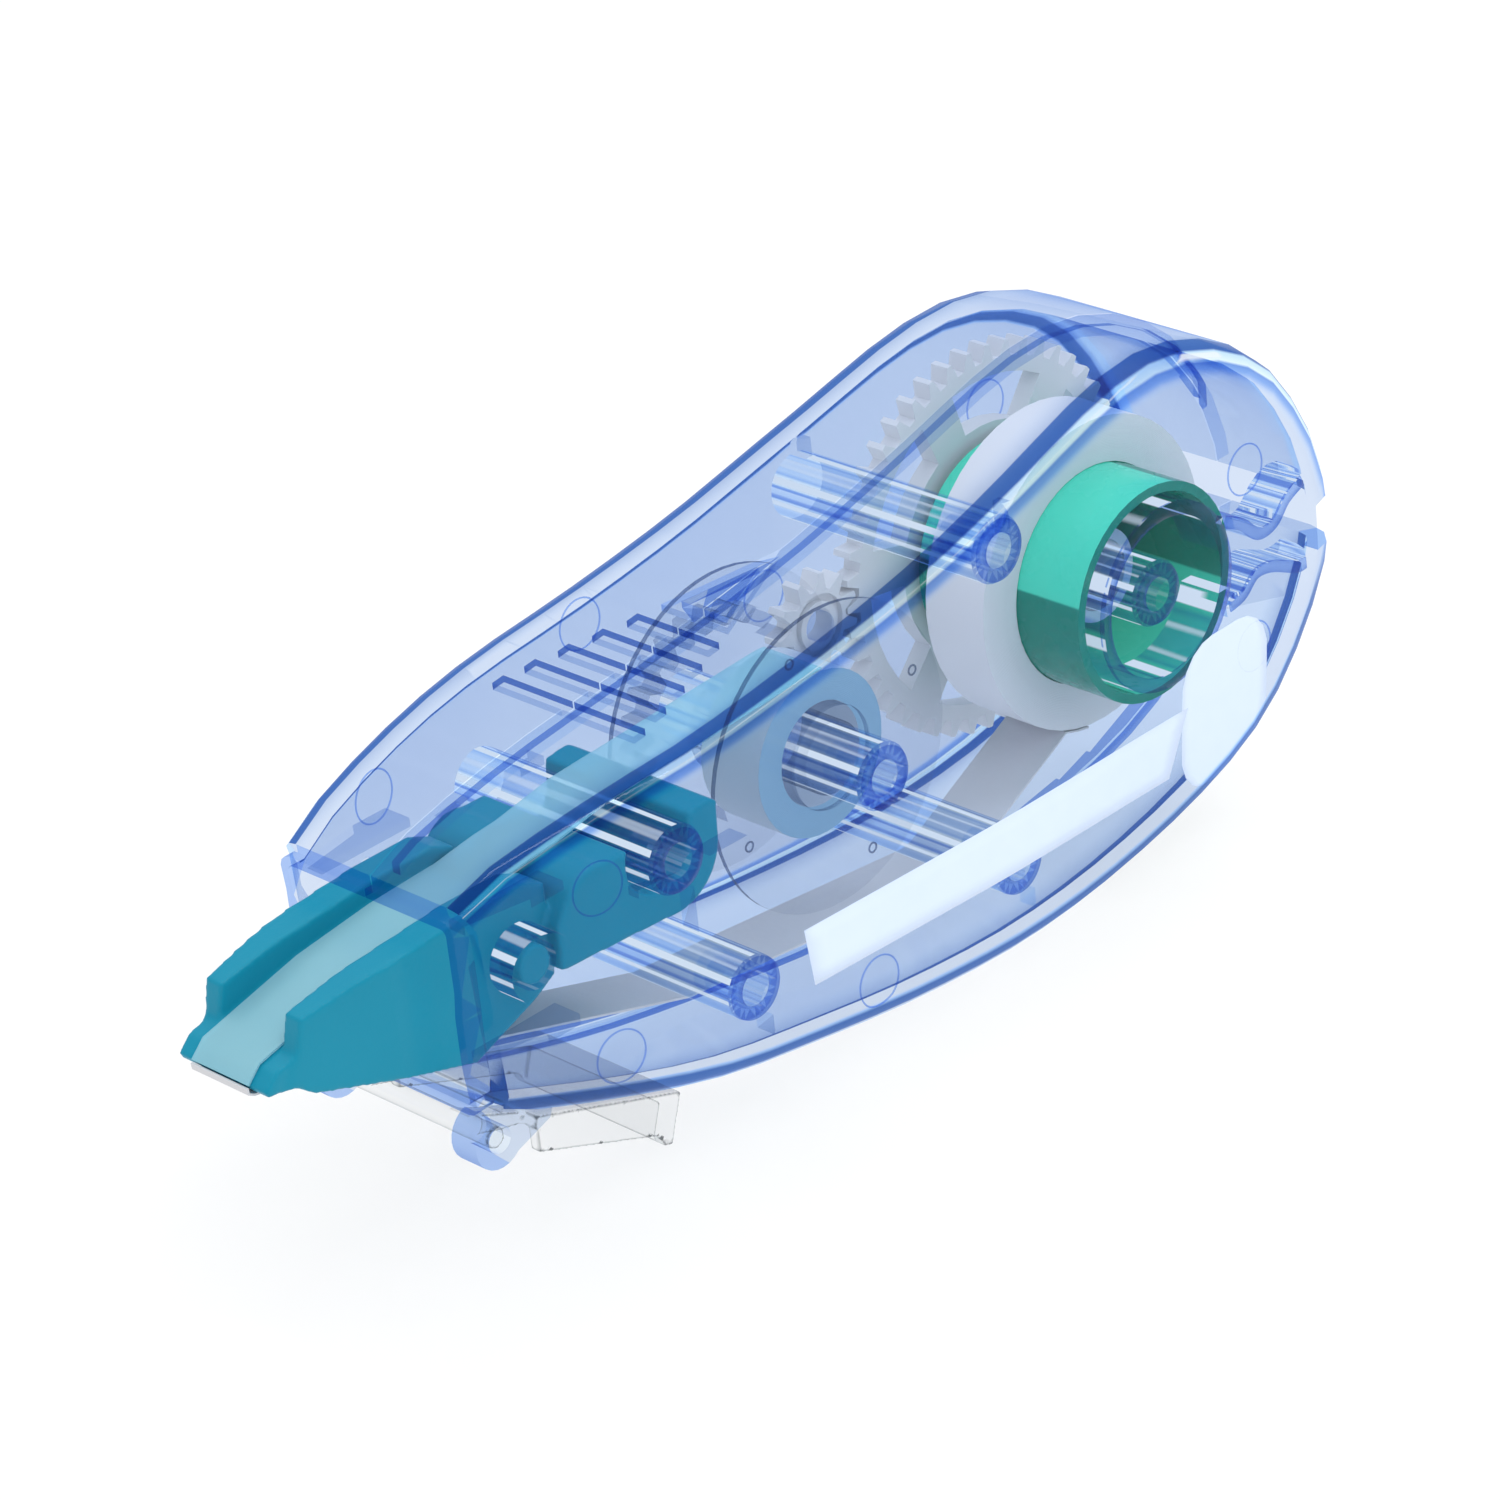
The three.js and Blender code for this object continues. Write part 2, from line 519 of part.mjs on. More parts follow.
const CAP_END = 13.85;
const CAP_HALF = 5.6;
const CAP_WALL = 0.7;
let cap = solid(capPart([[3.5, -0.4], [CAP_END, -0.4], [CAP_END, 0.3], [3.5, 0.3]], -CAP_HALF, CAP_HALF));
[-1, 1].forEach((side) => {
  const rail = [[3.6, 0.1], [CAP_END, 0.1], [CAP_END, 2.5], [13.3, 2.5], [12.7, 1.9], [4.1, 1.6]];
  cap = join(cap, capPart(rail, ...span(side, CAP_HALF - CAP_WALL, CAP_HALF)));
  const arm = [[-0.3, -0.6], [2.4, -0.4], [3.8, -0.3], [3.8, 0.3], [2.0, 0.5], [-0.3, 0.55]];
  cap = join(cap, capPart(arm, ...span(side, 3.3, 4.6)));
});
cap = join(cap, capPart([[13.25, 0.1], [CAP_END, 0.1], [CAP_END, 2.5], [13.25, 2.5]], -CAP_HALF, CAP_HALF));
cap = join(cap, disc(HINGE, 0.6, -6.4, 6.4, 20));
addMesh('flip_cap', cap, 0xe8ecf0, 0.1, { transparent: true, opacity: 0.3 });

export default group;
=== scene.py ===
"""Looks of the correction tape roller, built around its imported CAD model."""

import json
import math

import bmesh
import bpy
from mathutils import Matrix, Vector
from mathutils.bvhtree import BVHTree

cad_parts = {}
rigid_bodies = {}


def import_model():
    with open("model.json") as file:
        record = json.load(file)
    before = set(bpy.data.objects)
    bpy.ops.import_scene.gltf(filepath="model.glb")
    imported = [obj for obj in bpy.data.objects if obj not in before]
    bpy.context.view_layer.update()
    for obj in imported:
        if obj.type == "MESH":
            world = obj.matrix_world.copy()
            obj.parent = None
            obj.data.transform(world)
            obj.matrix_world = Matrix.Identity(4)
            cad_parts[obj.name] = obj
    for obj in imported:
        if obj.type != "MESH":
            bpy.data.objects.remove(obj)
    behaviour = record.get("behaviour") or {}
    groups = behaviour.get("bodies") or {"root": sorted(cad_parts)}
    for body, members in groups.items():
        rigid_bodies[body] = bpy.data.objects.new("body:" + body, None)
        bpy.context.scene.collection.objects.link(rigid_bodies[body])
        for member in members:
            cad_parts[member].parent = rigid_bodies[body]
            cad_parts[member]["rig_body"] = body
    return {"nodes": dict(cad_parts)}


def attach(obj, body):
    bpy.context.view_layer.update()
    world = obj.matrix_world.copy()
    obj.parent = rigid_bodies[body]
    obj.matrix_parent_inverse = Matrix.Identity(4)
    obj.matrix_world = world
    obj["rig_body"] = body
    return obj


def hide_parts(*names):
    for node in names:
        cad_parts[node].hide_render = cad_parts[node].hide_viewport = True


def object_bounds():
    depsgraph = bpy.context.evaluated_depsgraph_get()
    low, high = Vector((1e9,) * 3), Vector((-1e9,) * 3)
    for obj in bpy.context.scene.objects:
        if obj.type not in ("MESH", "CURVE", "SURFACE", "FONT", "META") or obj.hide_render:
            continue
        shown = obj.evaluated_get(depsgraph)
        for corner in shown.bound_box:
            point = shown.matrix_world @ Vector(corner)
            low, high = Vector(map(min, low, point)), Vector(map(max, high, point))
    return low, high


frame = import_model()
CAD_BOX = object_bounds()
NODES = frame["nodes"]
MM = 0.001
CENTRE = Vector((-23.88, 0.0, -0.78))     # the frame's origin, from the supply reel axis, in mm
SUPPLY = (0.0, 0.0)
TAKEUP = (-21.87, -1.46)


def at(x, y, z):
    """A point measured in mm from the supply reel axis, as a point of the frame in metres."""
    return (Vector((x, y, z)) - CENTRE) * MM


# ---- Node material helpers --------------------------------------------------
class Recipe:
    """A node material under construction."""

    def __init__(self, name):
        self.material = bpy.data.materials.new(name)
        self.material.use_nodes = True
        self.tree = self.material.node_tree
        self.tree.nodes.clear()

    def node(self, kind, inputs=None, **settings):
        made = self.tree.nodes.new(kind)
        for key, value in settings.items():
            setattr(made, key, value)
        for key, value in (inputs or {}).items():
            self.feed(made.inputs[key], value)
        return made

    def feed(self, socket, value):
        if isinstance(value, bpy.types.NodeSocket):
            self.tree.links.new(value, socket)
        elif socket.type == "RGBA" and len(value) == 3:
            socket.default_value = (*value, 1.0)
        else:
            socket.default_value = value

    def coords(self):
        return self.node("ShaderNodeTexCoord").outputs["Object"]

    def climb(self):
        """How steeply the mirrored direction goes up: -1 down, 1 up."""
        mirrored = self.node("ShaderNodeTexCoord").outputs["Reflection"]
        return self.node("ShaderNodeSeparateXYZ", {0: mirrored}).outputs[2]

    def noise(self, scale, detail=2.0, vector=None):
        inputs = {"Scale": scale, "Detail": detail, "Vector": vector or self.coords()}
        return self.node("ShaderNodeTexNoise", inputs).outputs["Fac"]

    def math(self, operation, a, b=0.0):
        return self.node("ShaderNodeMath", {0: a, 1: b}, operation=operation).outputs[0]

    def span(self, value, low, high, to_low, to_high):
        made = self.node("ShaderNodeMapRange", {
            "Value": value, "From Min": low, "From Max": high,
            "To Min": to_low, "To Max": to_high})
        return made.outputs["Result"]

    def mix(self, factor, a, b):
        made = self.node("ShaderNodeMix", data_type="RGBA")
        self.feed(made.inputs[0], factor)
        self.feed(made.inputs[6], a)
        self.feed(made.inputs[7], b)
        return made.outputs[2]

    def bump(self, height, strength, distance):
        return self.node("ShaderNodeBump", {
            "Height": height, "Strength": strength, "Distance": distance}).outputs["Normal"]

    def finish(self, shader):
        self.node("ShaderNodeOutputMaterial", {"Surface": shader})
        return self.material


GRAIN = 6e-5               # depth in m of the fine surface of a moulding


def moulded(name, light, dark, roughness, coat=0.0, specular=0.3, panel=None, glow=0.0):
    """Opaque moulded plastic with slight colour drift and a fine surface.

    panel = (colour, low, high) adds a painted reflection, the mirror image of a
    studio panel, where the mirrored direction climbs past low. glow is painted
    light: the part gives off a little light in its own colour, lifting it a little.
    """
    r = Recipe(name)
    drift = r.span(r.noise(90.0), 0.3, 0.7, 0.0, 1.0)
    fine = r.noise(2600.0, 3.0)
    colour = r.mix(drift, light, dark)
    if panel:
        colour = r.mix(r.span(r.climb(), panel[1], panel[2], 0.0, 1.0), colour, panel[0])
    rough = r.span(r.noise(700.0), 0.3, 0.7, roughness - 0.05, roughness + 0.06)
    shader = r.node("ShaderNodeBsdfPrincipled", {
        "Base Color": colour, "Roughness": rough, "IOR": 1.5, "Specular IOR Level": specular,
        "Coat Weight": coat, "Coat Roughness": 0.12, "Normal": r.bump(fine, 0.25, GRAIN),
        "Emission Color": colour, "Emission Strength": glow})
    return r.finish(shader.outputs[0])


# Painted reflections of the studio on a round clear moulding, in pale and dark bands: (mirrored
# climb, tint).
BANDS = [(-1.0, (0.70, 0.84, 1.0)), (-0.88, (0.30, 0.48, 0.86)), (-0.76, (0.50, 0.68, 0.96)),
         (-0.60, (0.82, 0.92, 1.0)), (-0.46, (0.72, 0.86, 1.0)), (-0.40, (0.22, 0.38, 0.80)),
         (-0.30, (0.30, 0.46, 0.86)), (-0.22, (0.60, 0.76, 0.98)), (-0.02, (0.66, 0.80, 1.0)),
         (0.03, (0.24, 0.40, 0.82)), (0.10, (0.30, 0.48, 0.88)), (0.16, (0.80, 0.93, 1.0)),
         (0.50, (0.84, 0.95, 1.0)), (0.58, (0.40, 0.60, 0.93)), (0.66, (0.62, 0.78, 0.98)),
         (0.84, (0.50, 0.68, 0.95)), (0.93, (0.16, 0.30, 0.74))]
# Where on that climb it glares, as painted highlights: (low, high, strength).
GLARES = [(0.20, 0.46, 1.0), (-0.66, -0.52, 0.8), (0.72, 0.76, 0.5)]
# Painted shade and painted highlights in bands on the rounded long edges of the casing, from its
# top or bottom (0) round to its side (1).
FILLET = [(-1.0, (0.70, 0.80, 0.96)), (0.10, (0.52, 0.68, 0.93)), (0.15, (0.06, 0.16, 0.48)),
          (0.50, (0.05, 0.14, 0.46)), (0.56, (0.58, 0.80, 1.0)), (0.74, (0.76, 0.92, 1.0)),
          (0.79, (0.18, 0.34, 0.78)), (0.87, (0.24, 0.42, 0.85)), (0.95, (0.62, 0.75, 0.95))]
# The same for rounded edges that look down.
LOW_FILLET = [(-1.0, (0.62, 0.75, 0.95)), (0.40, (0.50, 0.70, 0.96)), (0.60, (0.26, 0.44, 0.84)),
              (0.66, (0.08, 0.19, 0.54)), (0.93, (0.06, 0.16, 0.48)), (0.96, (0.34, 0.54, 0.90)),
              (0.985, (0.62, 0.75, 0.95))]
GLARE_EDGE = 0.012         # how softly a glare starts and ends, in climb
WAVES = (7.0, 5.0)         # how fast curved walls repeat the painted studio reflections, by their normal's X and Z
SHADOW_TINT = 0.08         # part of its tint that clear plastic gives to its shadow
CLEAR_ROUGHNESS = 0.03
NO_TINT = (1.0, 1.0, 1.0)


def set_stops(made, stops):
    """Gives a colour ramp node its (place, colour) stops, from 0 to 1."""
    elements = made.color_ramp.elements
    for element, (place, colour) in ((elements[0], stops[0]), (elements[1], stops[-1])):
        element.position = place
        element.color = (*colour, 1)
    for place, colour in stops[1:-1]:
        elements.new(place).color = (*colour, 1)


def ramp(r, value, stops):
    """The colour at a value from -1 to 1."""
    made = r.node("ShaderNodeValToRGB", {0: r.span(value, -1.0, 1.0, 0.0, 1.0)})
    set_stops(made, [(place / 2 + 0.5, colour) for place, colour in stops])
    return made.outputs[0]


def clear_plastic(name, face, rim, power=3.0, gloss=0.3, banded=0.0,
                  fillets=False, waves=False, lined=False, glare=1.0):
    """Thin see-through plastic, tinted where light enters it.

    It is pale where it faces the eye and deep where it turns away. Round parts
    (banded) carry painted reflections of the studio in bands, the rounded casing
    edges (fillets) painted shade and painted highlights in bands, and curved
    walls (waves) repeat the painted bands several times over. The edges of a
    finely meshed part can be drawn darker (lined).
    """
    r = Recipe(name)
    geometry = r.node("ShaderNodeNewGeometry")
    path = r.node("ShaderNodeLightPath")
    front = r.math("SUBTRACT", 1.0, geometry.outputs["Backfacing"])
    wave = r.bump(r.noise(160.0), 0.05, 2e-4)
    facing = r.node("ShaderNodeLayerWeight", {"Blend": 0.5}).outputs["Facing"]
    cloud = r.span(r.noise(60.0), 0.3, 0.7, 0.0, 0.06)
    turn = r.math("ADD", r.math("POWER", facing, power), cloud)
    tint = r.mix(turn, face, rim)
    if lined:
        sharp = r.math("ABSOLUTE", r.math("SUBTRACT", geometry.outputs["Pointiness"], 0.5))
        tint = r.mix(r.span(sharp, 0.015, 0.06, 0.0, 0.95), tint, rim)
    climb = r.climb()
    normal = r.node("ShaderNodeSeparateXYZ", {0: geometry.outputs["Normal"]}).outputs
    if waves:
        along_x = r.math("MULTIPLY", normal[0], WAVES[0])
        along_z = r.math("MULTIPLY", normal[2], WAVES[1])
        climb = r.math("SINE", r.math("ADD", along_x, along_z))
    amount = banded
    # Painted shade and painted highlights in bands across the rounded casing edges.
    if fillets:
        side = r.math("ABSOLUTE", normal[1])
        low = r.span(normal[2], -0.2, -0.1, 1.0, 0.0)
        start = r.math("ADD", 0.90, r.math("MULTIPLY", low, 0.06))
        end = r.math("ADD", 0.965, r.math("MULTIPLY", low, 0.025))
        rounded = r.math("MULTIPLY", r.span(side, 0.10, 0.16, 0.0, 1.0),
                         r.span(side, start, end, 1.0, 0.0))
        banding = r.mix(low, ramp(r, side, FILLET), ramp(r, side, LOW_FILLET))
        tint = r.mix(rounded, tint, banding)
        amount = r.math("MULTIPLY", r.span(side, 0.56, 0.60, 0.0, 1.0),
                        r.span(side, 0.68, 0.74, 1.0, 0.0))
    else:
        # Painted reflection bands of the studio, as strong as banded.
        tint = r.mix(amount, tint, ramp(r, climb, BANDS))
    light_path = r.math("MAXIMUM", path.outputs["Is Shadow Ray"], path.outputs["Is Diffuse Ray"])
    tint = r.mix(r.math("MULTIPLY", light_path, 1.0 - SHADOW_TINT), tint, NO_TINT)
    tint = r.mix(front, NO_TINT, tint)
    body = r.node("ShaderNodeBsdfTransparent", {"Color": tint})
    shine = r.node("ShaderNodeBsdfAnisotropic", {
        "Color": (0.93, 0.97, 1.0), "Roughness": CLEAR_ROUGHNESS, "Normal": wave})
    fresnel = r.node("ShaderNodeFresnel", {"IOR": 1.45, "Normal": wave}).outputs[0]
    mirror = r.math("MULTIPLY", r.math("MINIMUM", fresnel, 0.5), gloss)
    mirror = r.math("MULTIPLY", mirror, front)
    mixed = r.node("ShaderNodeMixShader", {
        0: mirror, 1: body.outputs[0], 2: shine.outputs[0]})
    # Painted highlights: white light given off where the climb glares.
    streak = 0.0
    for low, high, level in GLARES:
        rise = r.span(climb, low - GLARE_EDGE, low + GLARE_EDGE, 0.0, level)
        fall = r.span(climb, high - GLARE_EDGE, high + GLARE_EDGE, 1.0, 0.0)
        streak = r.math("ADD", streak, r.math("MULTIPLY", rise, fall))
    seen = r.math("MULTIPLY", r.math("MULTIPLY", streak, amount),
                  r.math("MULTIPLY", front, glare))
    seen = r.math("MULTIPLY", seen, r.math("SUBTRACT", 1.0, light_path))
    white = r.node("ShaderNodeEmission", {"Color": (0.93, 0.98, 1.0), "Strength": 1.0})
    lit = r.node("ShaderNodeMixShader", {0: seen, 1: mixed.outputs[0], 2: white.outputs[0]})
    return r.finish(lit.outputs[0])


WOUND_PITCH = 0.09         # spacing in mm of the rings on a roll's flat faces
WOUND_ROUGHNESS = 0.5


def wound(name, centre, face, edge, line):
    """A roll of thin film: fine rings on its flat faces, smooth on its outside."""
    r = Recipe(name)
    moved = r.node("ShaderNodeVectorMath", {
        0: r.coords(), 1: -at(centre[0], 0.0, centre[1])}, operation="ADD").outputs[0]
    parts = r.node("ShaderNodeSeparateXYZ", {0: moved})
    x2 = r.math("MULTIPLY", parts.outputs[0], parts.outputs[0])
    z2 = r.math("MULTIPLY", parts.outputs[2], parts.outputs[2])
    radius = r.math("SQRT", r.math("ADD", x2, z2))
    rings = r.math("SINE", r.math("MULTIPLY", radius, 2 * math.pi / (WOUND_PITCH * MM)))
    normal = r.node("ShaderNodeSeparateXYZ", {0: r.node("ShaderNodeNewGeometry").outputs["Normal"]})
    flat = r.math("ABSOLUTE", normal.outputs[1])
    shade = r.math("MULTIPLY", r.span(rings, -1, 1, 0.0, 1.0), flat)
    broad = r.noise(1200.0, 2.0, r.node("ShaderNodeCombineXYZ", {0: radius}).outputs[0])
    tone = r.math("MULTIPLY", r.span(broad, 0.35, 0.65, 0.0, 0.7), flat)
    colour = r.mix(r.math("MULTIPLY", shade, 0.45), r.mix(flat, face, edge), line)
    colour = r.mix(r.math("MULTIPLY", tone, 0.5), colour, line)
    shader = r.node("ShaderNodeBsdfPrincipled", {
        "Base Color": colour, "Roughness": WOUND_ROUGHNESS,
        "Normal": r.bump(shade, 0.2, 4e-5)})
    return r.finish(shader.outputs[0])


# ---- Materials --------------------------------------------------------------
WALL_TINT = (0.68, 0.76, 0.89)
DEEP_BLUE = (0.14, 0.30, 0.72)
# The casing carries painted shade and painted highlights in bands on its rounded edges.
casing = clear_plastic("casing_blue", WALL_TINT, DEEP_BLUE, power=4.0, fillets=True, glare=0.7)
# Posts, bores and curved channel walls carry painted reflection bands and painted highlights.
tube_blue = clear_plastic("tube_blue", WALL_TINT, DEEP_BLUE, banded=1.0)
inner_blue = clear_plastic("inner_blue", (0.86, 0.92, 0.99), (0.42, 0.58, 0.92), gloss=0.4,
                           banded=0.3, glare=0.5)
channel_blue = clear_plastic("channel_blue", WALL_TINT, DEEP_BLUE, banded=1.0, waves=True)
seam_blue = clear_plastic("seam_blue", (0.30, 0.45, 0.82), (0.12, 0.25, 0.66), power=2.0)
# A paler tint for the inside of the bottom wall: painted light that lifts it where it lies over
# shade; it also has the painted fillet bands.
low_blue = clear_plastic("low_blue", (0.84, 0.91, 0.985), (0.36, 0.54, 0.90), fillets=True,
                         glare=0.6)
edge_blue = clear_plastic("edge_blue", (0.46, 0.61, 0.92), (0.16, 0.30, 0.72), power=2.0)
ring_blue = clear_plastic("ring_blue", (0.50, 0.64, 0.95), (0.3, 0.48, 0.9), power=1.0, gloss=0.8)
dark_edge = clear_plastic("dark_edge", (0.12, 0.22, 0.56), (0.08, 0.16, 0.5), power=2.0,
                          gloss=0.2)
clear = clear_plastic("clear_cap", (0.95, 0.955, 0.955), (0.12, 0.13, 0.14), power=4.0,
                      gloss=0.9, lined=True)
film_clear = clear_plastic("clear_reel", (0.95, 0.955, 0.965), (0.22, 0.26, 0.36), gloss=0.5)
rim_grey = clear_plastic("reel_rim", (0.36, 0.41, 0.52), (0.2, 0.24, 0.36), power=1.5, gloss=0.5)
teeth_grey = clear_plastic("reel_teeth", (0.74, 0.78, 0.86), (0.34, 0.39, 0.5), power=1.6,
                           gloss=0.5)
teal = moulded("head_teal", (0.006, 0.26, 0.39), (0.004, 0.235, 0.36), 0.36, coat=0.05,
               specular=0.16)
# The core carries a painted reflection of a studio panel in lighter green, and a painted glow.
green = moulded("core_green", (0.001, 0.235, 0.165), (0.001, 0.22, 0.155), 0.26, coat=0.15,
                panel=((0.07, 0.70, 0.47), -0.10, -0.06), glow=0.14)
off_white = moulded("gear_white", (0.80, 0.80, 0.80), (0.75, 0.75, 0.76), 0.42)
pale_ring = moulded("friction_ring", (0.62, 0.64, 0.68), (0.56, 0.58, 0.62), 0.7)
roll_white = wound("tape_layers", SUPPLY, (0.84, 0.83, 0.83), (0.80, 0.79, 0.80),
                   (0.68, 0.67, 0.70))
film_blue = wound("film_layers", TAKEUP, (0.56, 0.64, 0.72), (0.32, 0.54, 0.70),
                  (0.22, 0.43, 0.6))
tape_white = moulded("tape_coating", (0.66, 0.66, 0.68), (0.60, 0.60, 0.63), 0.55)


FILM_MILK = 0.42           # part of the light that the backing film scatters


def clear_film():
    """The used backing film: thin, glossy and slightly milky."""
    r = Recipe("backing_film")
    glassy = r.node("ShaderNodeBsdfTransparent", {"Color": (0.84, 0.92, 0.95)})
    milky = r.node("ShaderNodeBsdfPrincipled", {
        "Base Color": r.mix(r.noise(300.0), (0.38, 0.75, 0.85), (0.44, 0.81, 0.90)),
        "Roughness": 0.3})
    mixed = r.node("ShaderNodeMixShader", {0: FILM_MILK, 1: glassy.outputs[0], 2: milky.outputs[0]})
    return r.finish(mixed.outputs[0])


film = clear_film()


WELD_REACH = 2e-6
REAL_EDGE = math.radians(35)


def dress(node, material):
    """Gives a CAD node its material and smooth shading broken at real edges."""
    obj = NODES[node]
    obj.data.materials.clear()
    obj.data.materials.append(material)
    for polygon in obj.data.polygons:
        polygon.use_smooth = True
        polygon.material_index = 0
    weld = obj.modifiers.new("weld", "WELD")
    weld.merge_threshold = WELD_REACH
    edges = obj.modifiers.new("edges", "EDGE_SPLIT")
    edges.split_angle = REAL_EDGE


for name, look in {
        "left_shell": casing, "right_shell": casing, "supply_core": green, "tape_roll": roll_white,
        "friction_ring": pale_ring, "drive_gear": off_white, "idler_gear": off_white,
        "takeup_reel": film_clear, "takeup_flange": film_clear, "used_tape_wrap": film_blue,
        "applicator_head": teal, "feed_tape": tape_white, "return_tape": film,
        "flip_cap": clear}.items():
    dress(name, look)


# ---- Looks by place on the shells -------------------------------------------
# Places are in mm from the supply reel axis, as (x, z) where there are two.
POSTS = [SUPPLY, TAKEUP, (-12.05, 7.6), (-36.8, 0.5), (-32.5, -9.0), (-12.4, -11.0),
         (-46.2, -1.3)]
TUBE_REACH = 2.15          # covers the posts and their pins
BORE_REACH = 1.45          # the bore of a post and the pin in it
COLLAR_REACH = 5.6         # covers the collar around the supply post
FLANGE_REACH = 8.0         # between the gear teeth and the rim of the clear reel
INSIDE_Y = 7.6             # faces farther out than this count as side wall
POST_END_Y = 6.7           # the ends of the posts lie nearer than this
SEAM_HALF = 0.72           # the lap joint of the two shells lies within this
LOW_WALL = -6.5            # the inside of the bottom wall lies below this
RIM_X = -50.95             # the rim around the nose opening lies before this
CHANNEL_X = 4.6            # the curved rear channel lies beyond this
CHANNEL_Z = (-3.6, 2.8)
CHANNEL_Y = 4.4
GRIP_X = (-37.6, -20.8)    # the moulded bars and arrow on the top wall
GRIP_Z = 6.4
GRIP_Y = 5.4
ARROW_START = -28.2
TUBE, EDGE, DARK, INNER, CHANNEL, SEAM, LOW = range(1, 8)


def paint_shell(node):
    """Sorts a shell's faces into wall, round moulding, seam and groove looks."""
    obj = NODES[node]
    for material in (tube_blue, edge_blue, dark_edge, inner_blue, channel_blue, seam_blue,
                     low_blue):
        obj.data.materials.append(material)
    for polygon in obj.data.polygons:
        p = polygon.center / MM + CENTRE
        n = polygon.normal
        inside = abs(p.y) < INSIDE_Y
        reach = min(math.hypot(p.x - x, p.z - z) for x, z in POSTS)
        near_post = reach < TUBE_REACH
        in_collar = node == "left_shell" and math.hypot(p.x, p.z) < COLLAR_REACH
        channel = (p.x > CHANNEL_X and CHANNEL_Z[0] < p.z < CHANNEL_Z[1]
                   and abs(p.y) > CHANNEL_Y and abs(n.y) < 0.1)
        grip = GRIP_X[0] < p.x < GRIP_X[1] and p.z > GRIP_Z and abs(p.y) < GRIP_Y
        arrow = grip and p.x > ARROW_START
        if inside and reach < BORE_REACH:
            polygon.material_index = INNER
        elif inside and abs(n.y) < 0.2 and (near_post or in_collar):
            polygon.material_index = TUBE
        elif channel:
            polygon.material_index = CHANNEL
        elif (near_post or in_collar) and abs(n.y) > 0.8 and abs(p.y) < POST_END_Y:
            polygon.material_index = EDGE
        elif p.x < RIM_X:
            polygon.material_index = EDGE
        elif abs(p.y) < SEAM_HALF and not near_post:
            polygon.material_index = SEAM if abs(n.y) < 0.5 else INNER
        # Painted light: the inside of the bottom wall gets the paler low_blue.
        elif n.z > 0.45 and p.z < LOW_WALL:
            polygon.material_index = LOW
        elif arrow and abs(n.x) > 0.25 and abs(n.z) < 0.5:
            polygon.material_index = EDGE
        elif grip and not arrow and (abs(n.x) > 0.7 or abs(n.y) > 0.7):
            polygon.material_index = DARK


def paint_rims(node):
    """The thin rims of a clear flange show as fine dark lines, its gear teeth paler."""
    obj = NODES[node]
    obj.data.materials.append(rim_grey)
    obj.data.materials.append(teeth_grey)
    for polygon in obj.data.polygons:
        p = polygon.center / MM + CENTRE
        reach = math.hypot(p.x - TAKEUP[0], p.z - TAKEUP[1])
        if abs(polygon.normal.y) < 0.3:
            polygon.material_index = 1 if reach > FLANGE_REACH else 2


paint_rims("takeup_flange")
paint_rims("takeup_reel")
paint_shell("left_shell")
paint_shell("right_shell")


# ---- Softened mouldings -----------------------------------------------------
def softened(node, name, material, voxel, rounds):
    """A copy of a CAD node with the small rounded edges that moulding leaves."""
    source = NODES[node]
    obj = bpy.data.objects.new(name, source.data.copy())
    bpy.context.scene.collection.objects.link(obj)
    obj.data.materials.clear()
    obj.data.materials.append(material)
    weld = obj.modifiers.new("weld", "WELD")
    weld.merge_threshold = WELD_REACH
    remesh = obj.modifiers.new("remesh", "REMESH")
    remesh.mode = "VOXEL"
    remesh.voxel_size = voxel * MM
    smooth = obj.modifiers.new("smooth", "SMOOTH")
    smooth.factor = 0.5
    smooth.iterations = rounds
    bake(obj)
    for polygon in obj.data.polygons:
        polygon.use_smooth = True
        polygon.material_index = 0
    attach(obj, source["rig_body"])
    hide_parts(node)
    return obj


def bake(obj):
    """Applies every modifier."""
    graph = bpy.context.evaluated_depsgraph_get()
    mesh = bpy.data.meshes.new_from_object(obj.evaluated_get(graph))
    old = obj.data
    obj.modifiers.clear()
    obj.data = mesh
    bpy.data.meshes.remove(old)


softened("applicator_head", "head_moulding", teal, 0.14, 5)
softened("flip_cap", "cap_moulding", clear, 0.1, 5)


# ---- Print and mould marks on the shells ------------------------------------
def wall_y(tree, x, z, side):
    """Y in mm of the casing's outer surface at (x, z), by a ray from outside."""
    start = at(x, side * 30.0, z)
    hit = tree.ray_cast(start, Vector((0, -side, 0)))[0]
    return hit.y / MM if hit else side * 8.0


def shell_tree(node):
    mesh = bmesh.new()
    mesh.from_mesh(NODES[node].data)
    tree = BVHTree.FromBMesh(mesh)
    mesh.free()
    return tree


def new_piece(name, mesh, material):
    """An object from a finished mesh, riding on the casing."""
    obj = bpy.data.objects.new(name, mesh)
    bpy.context.scene.collection.objects.link(obj)
    mesh.materials.append(material)
    for polygon in mesh.polygons:
        polygon.use_smooth = True
    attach(obj, "casing")
    return obj


def sheet_mesh(name, points, count, wide):
    """Closed thin sheet from two layers of count rows of points, each wide points long."""
    layer = count * wide
    faces = []
    for i in range(count - 1):
        for j in range(wide - 1):
            a = i * wide + j
            quad = (a, a + 1, a + wide + 1, a + wide)
            faces.append(quad)
            faces.append(tuple(layer + k for k in reversed(quad)))
    border = list(range(wide))
    border += [i * wide + wide - 1 for i in range(1, count)]
    border += [(count - 1) * wide + j for j in range(wide - 2, -1, -1)]
    border += [i * wide for i in range(count - 2, 0, -1)]
    for k, a in enumerate(border):
        b = border[(k + 1) % len(border)]
        faces.append((b, a, layer + a, layer + b))
    return closed_mesh(name, points, faces)


